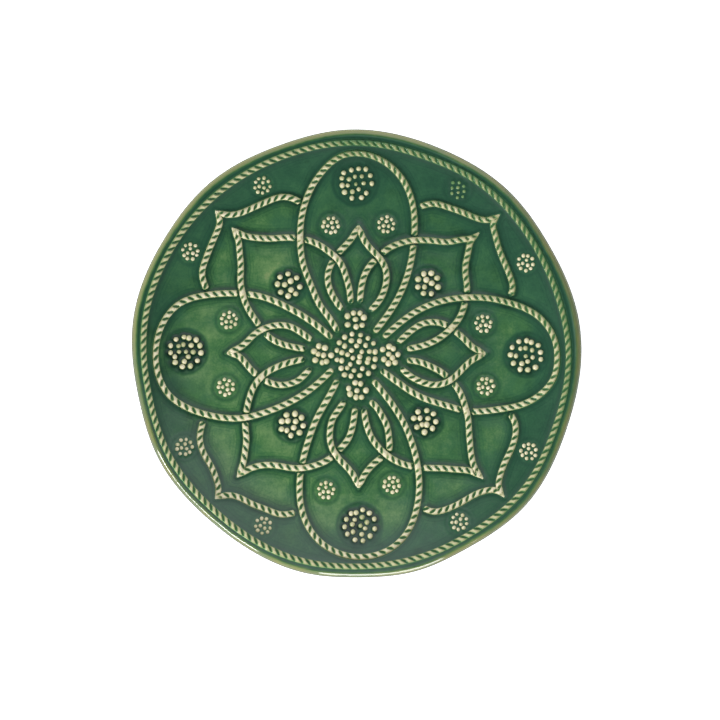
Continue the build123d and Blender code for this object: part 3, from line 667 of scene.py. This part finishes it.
def coil_solid(points, headings, along, ends, options):
    """Vertices, faces and glaze of one twisted coil, standing on the face.

    ends holds the kind of each end: "tip" for a pinched point, "butt" for one sunk in glaze, "cut" for a
    plain end and "loop" for none.
    """
    size = np.ones(len(points))
    drown = np.zeros(len(points))
    for kind, distance in ((ends[0], along - along[0]), (ends[1], along[-1] - along)):
        if kind == "tip":
            size *= TIP_SIZE + (1 - TIP_SIZE) * ease(-1.0, TIP_LENGTH, distance)
        if kind == "butt":
            size *= BUTT_SIZE + (1 - BUTT_SIZE) * ease(0.0, BUTT_LENGTH, distance)
            drown = np.maximum(drown, 0.22 * (1 - ease(0.0, 2.0, distance)))
        if kind in ("butt", "cut"):
            size *= np.sqrt(1 - (1 - np.clip(distance / END_ROUNDING, 0.05, 1.0)) ** 2)
            drown = np.maximum(drown, 0.4 * (1 - ease(0.0, 1.0, distance)))
    laid_ropes.append(np.column_stack([points, ROPE_HALF_WIDTH * size]))

    # The grooves fade at a tip and where this coil passes over another
    fade = np.zeros(len(points))
    if ends[0] == "tip":
        fade = 0.95 * (1 - ease(1.0, 4.0, along - along[0]))
    for place in options["crossings"]:
        fade = np.maximum(fade, np.exp(-(np.hypot(*(points - place).T) / CROSSING_REACH) ** 2))
    fade = fade[:, None]

    # Section: an arch, cut by the grooves between the strands, on two points below the clay face
    loop = ends[0] == "loop"
    turns = np.linspace(-pi / 2, pi / 2, SECTION_POINTS)
    across, arch = np.sin(turns)[None, :], np.cos(turns)[None, :]
    sideways = across * (ROPE_HALF_WIDTH * size)[:, None]
    stretch = 0.9 * np.sin(along / 23 + points[0, 0]) + 0.5 * np.sin(along / 9.7 + points[0, 1])
    phase = 2 * pi * (along[:, None] + options["lean"] * sideways) / options["pitch"]
    phase = phase + (0.0 if loop else stretch[:, None])
    groove = 0.5 - 0.5 * np.cos(phase)
    hollow = groove - options["taper"] * across ** 2
    dip = ease(0.2, 0.95, hollow) * (1 - fade)
    height = arch * (ROPE_HEIGHT * size)[:, None] * (1 + CROSSING_SWELL * fade) * (1 - GROOVE_DEPTH * dip)
    sideways = sideways * (1 + STRAND_BULGE * (0.5 - groove) * (1 - fade))
    sunk = np.full((len(points), 2), -COIL_SINK)
    seat = sideways[:, [-1, 0]] * SEAT_WIDTH
    sideways = np.concatenate([sideways, seat], axis=1)
    upward = np.concatenate([height - 0.02, sunk], axis=1)

    # Glaze: thick in the grooves and along the edges, thin on the crests, with painted shade toward the upper
    # right
    # Painted shade toward the upper right, and thicker glaze round the place at the top
    shade_and_run = FAR_PAINTED_SHADE * ease(15.0, 125.0, points @ PAINTED_SHADE_DIRECTION)
    shade_and_run += TOP_RUN * np.exp(-(np.hypot(*(points - TOP_PLACE).T) / TOP_REACH) ** 2)
    kept = (1 - 0.9 * fade) * (1 - 2.5 * shade_and_run)[:, None]
    glaze = CREST_GLAZE + options["groove"] * ease(0.15, 0.75, hollow) * kept
    glaze = glaze + SIDE_GLAZE * ease(0.45, 0.85, np.abs(across)) * (1 - 0.8 * fade)
    glaze = np.maximum(glaze, SEAM_GLAZE * ease(0.82, 1.0, np.abs(across)) * (1 - 0.8 * fade))
    glaze = np.minimum(glaze + (drown + shade_and_run + options["veil"])[:, None], 1.0)
    glaze = np.concatenate([glaze, np.ones((len(points), 2))], axis=1)
    vertices = stand(points, headings, sideways, upward)
    return vertices.reshape(-1, 3), tube_faces(*sideways.shape, loop), glaze.reshape(-1)


def coil(route, ends, key, over_route=None, crossings=()):
    """The solids of one coil: cut in two where another coil passes over it."""
    points, headings, along = lay(route, COIL_STEP)
    pitch = PITCHES[key[:2]] if key[:2] in PITCHES else PITCHES[key[0]]
    options = {**ROPE_STYLE, "pitch": pitch, "crossings": crossings}
    if key in REVERSED_COILS:
        options["lean"] = -options["lean"]
    if over_route is None:
        return [coil_solid(points, headings, along, ends, options)]
    clearance, _ = nearest(lay(over_route, COIL_STEP)[0], points)
    hidden = np.flatnonzero(clearance <= ROPE_HALF_WIDTH + CROSSING_GAP)
    first, last = hidden[0], hidden[-1]
    solids = []
    for part, kinds in ((slice(0, first), (ends[0], "cut")), (slice(last + 1, None), ("cut", ends[1]))):
        solids.append(coil_solid(points[part], headings[part], along[part], kinds, options))
    return solids


def crossing_place(one, other):
    """Plan point where two routes cross."""
    first, second = lay(one, CROSSING_STEP)[0], lay(other, CROSSING_STEP)[0]
    gaps, _ = nearest(second, first)
    return first[int(np.argmin(gaps))]


def bead_solid(x, y, radius, index, veil, drowned):
    """Vertices, faces and glaze of one pressed bead with a flared foot, under a veil of extra glaze."""
    radius = radius * (1.06 + 0.08 * sin(7.3 * index + x))
    squash = 1 + 0.05 * sin(3.1 * index + y)
    angles = np.arange(BEAD_SIDES) * 2 * pi / BEAD_SIDES + index * 1.7
    lean = float(face_lean(np.hypot(x, y)))
    out_x, out_y = x / max(np.hypot(x, y), 1e-6), y / max(np.hypot(x, y), 1e-6)
    vertices, glaze = [], []
    for distance, height, thickness in BEAD_RINGS:
        rise = radius * height * (DROWNED_RISE if drowned else BEAD_RISE)
        for angle in angles[:1] if distance == 0 else angles:
            dx = radius * distance * cos(angle) * squash
            dy = radius * distance * sin(angle) / squash
            outward = dx * out_x + dy * out_y
            vertices.append((x + dx - rise * sin(lean) * out_x, y + dy - rise * sin(lean) * out_y,
                             float(surface(x, y)) + rise * cos(lean) + outward * tan(lean)))
            glaze.append(thickness + veil)
    faces = [(0, 1 + i, 1 + (i + 1) % BEAD_SIDES) for i in range(BEAD_SIDES)]
    for near in range(1, 1 + (len(BEAD_RINGS) - 2) * BEAD_SIDES, BEAD_SIDES):
        far = near + BEAD_SIDES
        for i in range(BEAD_SIDES):
            j = (i + 1) % BEAD_SIDES
            faces.append((near + i, far + i, far + j, near + j))
    faces.append(tuple(far + i for i in reversed(range(BEAD_SIDES))))
    return np.array(vertices), faces, np.array(glaze)


def ring_of(x, y, count, radius, first_angle):
    """Plan points spaced evenly round a middle point, a little uneven as pressed by hand."""
    places = []
    for index in range(count):
        angle = radians(first_angle + 360 * index / count + 3 * sin(index * 2.3 + x))
        reach = radius * (1 + 0.04 * sin(index * 1.9 + y))
        places.append((x + reach * cos(angle), y + reach * sin(angle)))
    return places


laid_beads = []  # (x, y, radius) of every bead
clusters = []  # (x, y, radius of the dark disc, darkness of its pooled glaze and painted shadow) of every cluster


def bead_piece(name, places, radius, halo, pool, inner_veil=0.0, drowned=False):
    """One cluster of beads as one piece.

    halo is the width of the dark glaze and painted shadow round it, pool how dark they are, and inner_veil
    what covers and shrinks its inner beads, for each mm that they lie inside the rest.
    """
    laid_beads.extend((x, y, radius) for x, y in places)
    middle = np.mean(places, axis=0)
    from_middle = np.hypot(*(np.array(places) - middle).T)
    reach = max(from_middle) + radius
    solids = []
    for index, (x, y) in enumerate(places):
        depth_inside = max(0.0, reach - from_middle[index] - 2 * radius)
        veil = 0.03 + inner_veil * depth_inside + 0.04 * sin(4.1 * index + x) + 0.08 * ease(85.0, 115.0, y)
        veil = DROWNED_VEIL if drowned else max(0.0, veil)
        solids.append(bead_solid(x, y, radius * (1 - inner_veil * depth_inside), index, veil, drowned))
    clusters.append((middle[0], middle[1], reach + halo, pool))
    relief_piece(name, solids, bead_material)


# Ropes

rope_material = relief_glaze("rope_glaze", 0.05, 0.2)
bead_material = relief_glaze("bead_glaze", 0.09, 0.6)


def rope_piece(name, solids):
    """One rope node from its coils."""
    relief_piece(name, solids, rope_material)


border_angles = np.linspace(0, 2 * pi, BORDER_POINTS, endpoint=False)
ring = plan_points(value_at(BORDER_KNOTS, border_angles), border_angles)
closed = np.concatenate([ring, ring[:1]])
ring_along = distances(closed)
border_steps = int(ring_along[-1] / COIL_STEP)
even = np.arange(border_steps) * ring_along[-1] / border_steps
border = np.stack([np.interp(even, ring_along, closed[:, axis]) for axis in (0, 1)], axis=1)
border_headings = np.roll(border, -1, axis=0) - np.roll(border, 1, axis=0)
border_headings /= np.hypot(*border_headings.T)[:, None]
twists = round(ring_along[-1] / BORDER_PITCH)
border_options = {**BORDER_STYLE, "pitch": ring_along[-1] / twists, "crossings": ()}
rope_piece("rope_border", [coil_solid(border, border_headings, even, ("loop", "loop"), border_options)])

for quarter, (side, corner) in enumerate(zip(SIDES, CORNERS)):
    previous_side = SIDES[quarter - 1]
    next_corner = CORNERS[(quarter + 1) % len(CORNERS)]
    oval, previous_oval = OVAL_ROUTES[side], OVAL_ROUTES[previous_side]
    a, b = CORNER_ROUTES[corner]["a"], CORNER_ROUTES[corner]["b"]
    next_b = CORNER_ROUTES[next_corner]["b"]
    petal_a, petal_b = PETAL_ROUTES[side]["a"], PETAL_ROUTES[side]["b"]
    over_oval = [crossing_place(oval, next_b)]
    rope_piece(f"rope_oval_{side}", coil(oval, ("butt", "butt"), ("oval", side), a, over_oval))
    over_a, over_b = [crossing_place(a, oval)], [crossing_place(b, PETAL_ROUTES[previous_side]["a"])]
    solids = coil(a, ("tip", "butt"), ("corner", corner, "a"), petal_b, over_a)
    solids += coil(b, ("tip", "butt"), ("corner", corner, "b"), previous_oval, over_b)
    rope_piece(f"rope_corner_{corner}", solids)
    solids = coil(petal_a, ("tip", "butt"), ("petal", side, "a"), next_b)
    solids += coil(petal_b, ("tip", "butt"), ("petal", side, "b"), None, [crossing_place(petal_b, a)])
    rope_piece(f"rope_petal_{side}", solids)

for corner, routes in OUTER_ROUTES.items():
    solids = coil(routes["a"], ("tip", "cut"), ("outer", corner, "a"))
    solids += coil(routes["b"], ("tip", "cut"), ("outer", corner, "b"))
    rope_piece(f"rope_outer_{corner}", solids)

# Beads

bead_piece("beads_centre", CENTRE_BEADS, CENTRE_BEAD_RADIUS, halo=0.5, pool=0.65)
for side in SIDES:
    bead_piece(f"beads_satellite_{side}", SATELLITE_BEADS[side], SATELLITE_RADIUS, halo=0.5, pool=0.6)
    bead_piece(f"beads_large_{side}", LARGE_BEADS[side], CENTRE_BEAD_RADIUS, 1.4, 1.0, inner_veil=INNER_VEIL)
for corner in CORNERS:
    bead_piece(f"beads_middle_{corner}", MIDDLE_BEADS[corner], BEAD_RADIUS, halo=1.5, pool=0.9)
for place, (x, y, first_angle) in SEED_CLUSTERS.items():
    radius = RIM_SEED_RADIUS if place.startswith("rim") else SEED_RADIUS
    places = ring_of(x, y, SEED_OUTER_COUNT, SEED_OUTER_RING, first_angle)
    places += ring_of(x, y, SEED_INNER_COUNT, SEED_INNER_RING, first_angle)
    drowned = place == DROWNED_CLUSTER
    bead_piece(f"beads_small_{place}", DROWNED_BEADS if drowned else places, radius, halo=1.5,
               pool=0.8 if drowned else 0.3, drowned=drowned)

# Body

def body_mesh():
    """Plan points of the upper face, each one's distance inside the rim, and the faces."""
    rows, rims = [np.zeros((1, 2))], [np.array([value_at(RIM_KNOTS, np.zeros(1))[0]])]
    faces = []
    for k in range(1, FACE_RINGS + 1):
        angles = np.arange(6 * k) * 2 * pi / (6 * k)
        rim = value_at(RIM_KNOTS, angles)
        radius = (rim - LIP_START) * k / FACE_RINGS
        rows.append(plan_points(radius, angles))
        rims.append(rim - radius)
        outer, inner = 1 + 3 * k * (k - 1), 1 + 3 * (k - 1) * (k - 2)
        for sector in range(6):
            for i in range(k):
                o = outer + sector * k + i
                o_next = outer + (sector * k + i + 1) % (6 * k)
                n = 0 if k == 1 else inner + (sector * (k - 1) + i) % (6 * (k - 1))
                faces.append((o, o_next, n))
                if i < k - 1:
                    faces.append((n, o_next, inner + (sector * (k - 1) + i + 1) % (6 * (k - 1))))
    return np.concatenate(rows), np.concatenate(rims), faces


def lip_and_underside(start):
    """Vertices from the lip under to the middle, each one's distance inside the rim, and the faces."""
    count = 6 * FACE_RINGS
    angles = np.arange(count) * 2 * pi / count
    rim = value_at(RIM_KNOTS, angles)
    wobble = 0.12 * np.sin(5 * angles + 1) + 0.08 * np.sin(13 * angles)
    corner_height = face_height(rim) + hand_wave(rim * np.cos(angles), rim * np.sin(angles))
    lower_centre = -BODY_THICKNESS / cos(WALL_SLOPE) + LIP_RADIUS * tan((pi / 2 - WALL_SLOPE) / 2)
    drop = -LIP_START * tan(WALL_SLOPE)
    steps = []
    for (inward, tilt), (next_inward, next_tilt) in zip(LIP_PROFILE, LIP_PROFILE[1:]):
        drop -= (inward - next_inward) * tan(radians((tilt + next_tilt) / 2))
        steps.append((next_inward, drop, next_inward))
    for turn in np.radians(np.linspace(0, -LIP_TURN, LIP_STEPS)):
        steps.append((LIP_RADIUS * (1 - cos(turn)), lower_centre + LIP_RADIUS * sin(turn), EDGE_GAP))
    vertices, gaps, faces = [], [], []
    before, here = start - count, start
    for inward, drop, gap in steps:
        vertices.append(np.column_stack([plan_points(rim - inward, angles), corner_height + drop + wobble]))
        gaps.append(np.full(count, gap))
        for i in range(count):
            j = (i + 1) % count
            faces.append((here + i, here + j, before + j, before + i))
        before, here = here, here + count

    # The underside has half as many points in each ring
    half = count // 2
    edge = rim[::2] - LIP_RADIUS * (1 - cos(radians(LIP_TURN)))
    scales = np.concatenate([np.linspace(1, UNDER_CHANGE, UNDER_OUTER_RINGS + 1)[1:],
                             np.linspace(UNDER_CHANGE, UNDER_LAST, UNDER_INNER_RINGS + 1)[1:]])
    for index, scale in enumerate(scales):
        radius = edge * scale
        ring = plan_points(radius, angles[::2])
        x, y = ring.T
        settle = ease(0.97, 1.0, scale)
        height = face_height(radius, BODY_THICKNESS) + (hand_wave(x, y) + wobble[::2]) * settle
        height += 0.5 * hand_wave(x * 1.3 + 9, y * 1.3) * (ease(88, 100, radius) * (1 - settle))
        vertices.append(np.column_stack([ring, height]))
        for i in range(half):
            j = (i + 1) % half
            if index == 0:
                last = (2 * i + 2) % count
                faces.append((here + i, here + j, before + 2 * i + 1))
                faces.append((here + i, before + 2 * i + 1, before + 2 * i))
                faces.append((here + j, before + last, before + 2 * i + 1))
            else:
                faces.append((here + i, here + j, before + j, before + i))
        before, here = here, here + half
    vertices.append(np.array([[0, 0, FOOT_HEIGHT]]))
    faces += [(here, before + (i + 1) % half, before + i) for i in range(half)]
    gaps.append(np.full(half * len(scales) + 1, UNDER_GAP))
    return np.concatenate(vertices), np.concatenate(gaps), faces


plan, rim_gap, face_faces = body_mesh()
from_middle = np.hypot(*plan.T)
centre_lines = np.concatenate(laid_ropes)
rope_distance, rope_index = nearest(centre_lines[:, :2], plan)
rope_gap = rope_distance - centre_lines[rope_index, 2]
bead_table = np.array(laid_beads)
bead_distance, bead_index = nearest(bead_table[:, :2], plan)
bead_gap = bead_distance - bead_table[bead_index, 2]
cluster_gaps = np.array([np.hypot(*(plan - (x, y)).T) - radius for x, y, radius, pool in clusters])
cluster_gap = cluster_gaps.min(axis=0)
cluster_pool_and_shadow = np.array([pool for x, y, radius, pool in clusters])[cluster_gaps.argmin(axis=0)]

# How dark the glaze is made: painted shade growing toward +X and +Y, a darker wall and spots of thin or thick
# glaze; and how strongly it pools
shade_and_glaze_depth = plan @ SHADE_GRADIENT + WALL_DARKENING * ease(98.0, 116.0, from_middle)
pooling = 0.5 + 0.5 * ease(14.0, 48.0, from_middle)
for x, y, reach, change in GLAZE_SPOTS:
    spot = change * np.exp(-((plan[:, 0] - x) ** 2 + (plan[:, 1] - y) ** 2) / reach ** 2)
    shade_and_glaze_depth += spot
    pooling += 3 * spot

# The glaze's own relief: a fillet against ropes and beads, full cells, and a gutter inside the lip
fullness = 0.8 + 0.3 * np.sin(plan[:, 0] / 13 + 1) * np.cos(plan[:, 1] / 15)
fullness = fullness * (1 - 0.4 * ease(85.0, 110.0, from_middle))
meniscus = 0.7 * fullness * np.exp(-np.maximum(rope_gap, 0) / 1.5)
meniscus += 0.5 * np.exp(-np.maximum(bead_gap, 0) / 0.9) + 0.13 * np.exp(-((cluster_gap - 0.6) / 0.8) ** 2)
cell_crown = 0.22 * ease(1.0, 9.0, np.minimum(rope_gap, cluster_gap + 3))
gutter = 0.25 * np.exp(-((rim_gap - 4.6) / 0.7) ** 2)
glaze_height = (meniscus + cell_crown) * ease(LIP_START, LIP_START + 1.0, rim_gap) - gutter
face_vertices = np.column_stack([plan, surface(*plan.T) + glaze_height])

rest_vertices, rest_gap, rest_faces = lip_and_underside(len(face_vertices))
far = np.full(len(rest_vertices), FAR_GAP)
# Painted shade on the lip, set by direction round the plate
lip_painted_shade = value_at(LIP_PAINTED_SHADE, np.arctan2(rest_vertices[:, 1], rest_vertices[:, 0]))
layers = {
    "rope_gap": (rope_gap, far), "bead_gap": (bead_gap, far), "cluster_gap": (cluster_gap, far),
    "cluster_pool_and_shadow": (cluster_pool_and_shadow, 0 * far), "shade_and_glaze_depth": (shade_and_glaze_depth, lip_painted_shade), "pooling": (pooling, far),
    "rim_gap": (rim_gap, rest_gap),
}
layers = {name: np.concatenate(values) for name, values in layers.items()}
make_piece("plate_body", np.concatenate([face_vertices, rest_vertices]), face_faces + rest_faces, layers,
           body_glaze(), ["plate_body"])

# Foot ring: rounded outside and in, with a faint wave, its top buried in the body's underside
foot_arc = []
for turn in np.radians((22.5, 45, 67.5, 90)):
    foot_arc.append((FOOT_ROUNDING * (1 - cos(turn)), FOOT_ROUNDING * (1 - sin(turn))))
foot_profile = [(FOOT_INNER_RADIUS - FOOT_SPREAD, FOOT_TOP), (FOOT_INNER_RADIUS, FOOT_INNER_NECK),
                (FOOT_INNER_RADIUS, FOOT_ROUNDING)]
foot_profile += [(FOOT_INNER_RADIUS + inward, height) for inward, height in foot_arc]
foot_profile += [(radius, 0.0) for radius in FOOT_FLAT]
foot_profile += [(FOOT_OUTER_RADIUS - inward, height) for inward, height in reversed(foot_arc)]
foot_profile += [(FOOT_OUTER_RADIUS, FOOT_ROUNDING), (FOOT_OUTER_RADIUS, FOOT_OUTER_NECK),
                 (FOOT_OUTER_RADIUS + FOOT_SPREAD, FOOT_TOP)]
foot_vertices = []
for index in range(FOOT_SIDES):
    angle = 2 * pi * index / FOOT_SIDES
    drift = 0.12 * sin(3 * angle) + 0.06 * sin(11 * angle)
    for radius, height in foot_profile:
        foot_vertices.append(((radius + drift) * cos(angle), (radius + drift) * sin(angle), height))
foot_faces = tube_faces(FOOT_SIDES, len(foot_profile), True)
make_piece("foot_ring", foot_vertices, foot_faces, {}, foot_clay(), ["foot_ring"])

# Table, light and camera

white = Graph(bpy.data.materials.new("table_white"))
white.feed(white.shader, "Base Color", (0.9, 0.9, 0.9, 1.0))
white.feed(white.shader, "Roughness", 0.6)
white.feed(white.shader, "Emission Color", (1.0, 1.0, 1.0, 1.0))
white.feed(white.shader, "Emission Strength", TABLE_GLOW)
bpy.ops.mesh.primitive_plane_add(size=TABLE_SIZE)
table = bpy.context.object
table.name = "table"
table.data.materials.append(white.owner)


def toward(azimuth, zenith):
    """Direction from the plate, from degrees round it and degrees down from straight above."""
    around, away = radians(azimuth), radians(zenith)
    return (sin(away) * cos(around), sin(away) * sin(around), cos(away))


def softbox(name, azimuth, zenith, distance, width, height, radiance):
    """A white area light aimed at the plate. Its power follows from its size and radiance."""
    light = bpy.data.lights.new(name, "AREA")
    light.shape = "RECTANGLE"
    light.size = width
    light.size_y = height
    light.energy = radiance * width * height * pi
    made = bpy.data.objects.new(name, light)
    made.location = [distance * part for part in toward(azimuth, zenith)]
    made.rotation_euler = (Vector((0, 0, 0.01)) - made.location).to_track_quat("-Z", "Y").to_euler()
    bpy.context.scene.collection.objects.link(made)


softbox("softbox_low_left", 222, 68, distance=1.2, width=0.72, height=0.11, radiance=44.0)
softbox("lamp_low_right", 280, 71, distance=1.2, width=0.7, height=0.14, radiance=15.0)

# White walls all round, and a wide window high on the far right side
world = bpy.data.worlds.new("studio")
bpy.context.scene.world = world
sky = Graph(world)
direction = sky.node("TexCoord").outputs["Generated"]
split = sky.node("SeparateXYZ", {0: direction})
walls = sky.curve(split.outputs["Z"], [(0, 0.8), (0.35, 0.75), (0.62, 0.24), (0.8, 0.11), (1, 0.06)])
dim_side = sky.curve(split.outputs["X"], [(0, 1.0), (0.8, 0.5)])
facing = sky.node("VectorMath", {0: direction, 1: toward(WINDOW_AZIMUTH, WINDOW_ZENITH)},
                  operation="DOT_PRODUCT")
window = sky.curve(facing.outputs["Value"], [(0.70, 0), (0.80, 0.25), (0.90, 0.6), (0.97, 0.7)],
                   tint=(0.92, 0.97, 1.0))
studio = sky.mix(1.0, sky.mix(1.0, walls, dim_side, "MULTIPLY"), window, "ADD")
sky.feed(sky.tree.nodes["Background"], "Color", studio)
sky.feed(sky.tree.nodes["Background"], "Strength", STUDIO_STRENGTH)

camera_data = bpy.data.cameras.new("camera")
camera_data.sensor_width = 36.0
camera_data.lens = camera_data.sensor_width * (CAMERA_HEIGHT - RELIEF_HEIGHT) / FRAME_WIDTH
camera_data.clip_end = 20.0
camera = bpy.data.objects.new("camera", camera_data)
camera.location = (*CAMERA_PLACE, CAMERA_HEIGHT)
bpy.context.scene.collection.objects.link(camera)
bpy.context.scene.camera = camera
bpy.context.scene.view_settings.view_transform = "Standard"
